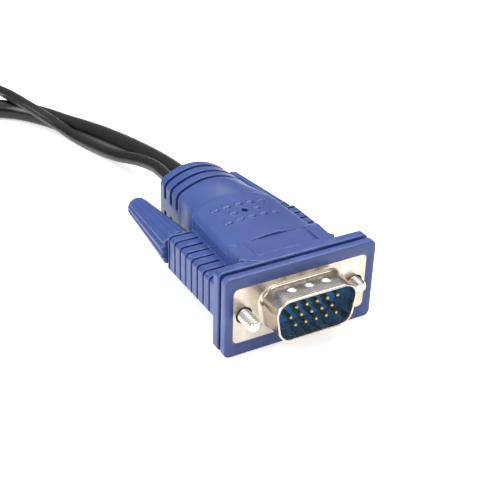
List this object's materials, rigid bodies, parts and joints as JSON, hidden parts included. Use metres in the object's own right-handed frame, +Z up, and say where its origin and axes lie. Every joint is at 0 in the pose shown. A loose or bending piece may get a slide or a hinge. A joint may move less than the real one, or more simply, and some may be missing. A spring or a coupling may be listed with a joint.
{
  "type": "usb kvm cable",
  "caption": "Cable that carries video and USB from a computer to a switch: a moulded D-shaped video plug with two cords, one to a second video plug, one to a flat USB plug.",
  "frame": {"origin": "on the table, straight below the centre of the front face of the pictured plug's metal flange", "axes": "+X to the right seen from the front of the plug, -Y the way the pins point, +Y towards the cords, +Z up"},
  "size_m": [0.1278, 0.1544, 0.0203],
  "materials": {
    "blue_plastic": "injection-moulded plastic, fine satin grain",
    "nickel_plate": "drawn steel, bright nickel plating",
    "screw_steel": "turned steel, nickel-plated",
    "crimp_steel": "pressed steel, plain",
    "gold_contact": "brass, thin gold plating",
    "blue_insulator": "glass-filled plastic, satin",
    "black_insulator": "glass-filled plastic, matt",
    "wire_insulation": "thin coloured wire insulation",
    "black_cord": "soft PVC jacket, satin",
    "black_plastic": "soft moulded plastic, matt",
    "white_plastic": "plain white plastic",
    "tie_fabric": "woven hook-and-loop strap"
  },
  "bodies": {
    "root": {"front_frame": "blue_plastic", "hood_upper": "blue_plastic", "hood_lower": "blue_plastic", "front_shell": "nickel_plate", "rear_shell": "nickel_plate", "front_insulator": "blue_insulator", "rear_insulator": "black_insulator", "contact_pins": "gold_contact", "core_wires": "wire_insulation", "video_cord_end": "black_cord", "usb_cord_end": "black_cord", "video_ferrule": "crimp_steel", "usb_ferrule": "crimp_steel", "video_cord_lead": "black_cord", "video_cord_coil": "black_cord", "video_cord_tail": "black_cord", "usb_cord_lead": "black_cord", "usb_cord_coil": "black_cord", "usb_cord_tail": "black_cord", "coil_ties": "tie_fabric", "far_front_frame": "blue_plastic", "far_hood_upper": "blue_plastic", "far_hood_lower": "blue_plastic", "far_front_shell": "nickel_plate", "far_rear_shell": "nickel_plate", "far_front_insulator": "blue_insulator", "far_rear_insulator": "black_insulator", "far_contact_pins": "gold_contact", "far_core_wires": "wire_insulation", "far_cord_end": "black_cord", "far_ferrule": "crimp_steel", "usb_shell": "nickel_plate", "usb_tongue": "white_plastic", "usb_contacts": "gold_contact", "usb_inner_block": "white_plastic", "usb_grip": "black_plastic", "usb_relief": "black_plastic"},
    "left_carrier": {"left_ring": "crimp_steel"},
    "left_thumbscrew": {"left_screw": "screw_steel", "left_knob": "blue_plastic"},
    "right_carrier": {"right_ring": "crimp_steel"},
    "right_thumbscrew": {"right_screw": "screw_steel", "right_knob": "blue_plastic"},
    "far_left_carrier": {"far_left_ring": "crimp_steel"},
    "far_left_thumbscrew": {"far_left_screw": "screw_steel", "far_left_knob": "blue_plastic"},
    "far_right_carrier": {"far_right_ring": "crimp_steel"},
    "far_right_thumbscrew": {"far_right_screw": "screw_steel", "far_right_knob": "blue_plastic"}
  },
  "joints": [
    {"name": "left_travel", "type": "slide", "parent": "root", "child": "left_carrier", "axis": [0, 1, 0], "range_m": [0, 0.003]},
    {"name": "left_turn", "type": "hinge", "parent": "left_carrier", "child": "left_thumbscrew", "pos_m": [-0.01249, 0.01, 0.00865], "axis": [0, 1, 0], "continuous": true},
    {"name": "right_travel", "type": "slide", "parent": "root", "child": "right_carrier", "axis": [0, 1, 0], "range_m": [-0.0022, 0.0008]},
    {"name": "right_turn", "type": "hinge", "parent": "right_carrier", "child": "right_thumbscrew", "pos_m": [0.01249, 0.01, 0.00865], "axis": [0, 1, 0], "continuous": true},
    {"name": "far_left_travel", "type": "slide", "parent": "root", "child": "far_left_carrier", "axis": [0, 1, 0], "range_m": [0, 0.003]},
    {"name": "far_left_turn", "type": "hinge", "parent": "far_left_carrier", "child": "far_left_thumbscrew", "pos_m": [-0.107, 0.01, 0.00865], "axis": [0, 1, 0], "continuous": true},
    {"name": "far_right_travel", "type": "slide", "parent": "root", "child": "far_right_carrier", "axis": [0, 1, 0], "range_m": [0, 0.003]},
    {"name": "far_right_turn", "type": "hinge", "parent": "far_right_carrier", "child": "far_right_thumbscrew", "pos_m": [-0.082, 0.01, 0.00865], "axis": [0, 1, 0], "continuous": true}
  ]
}
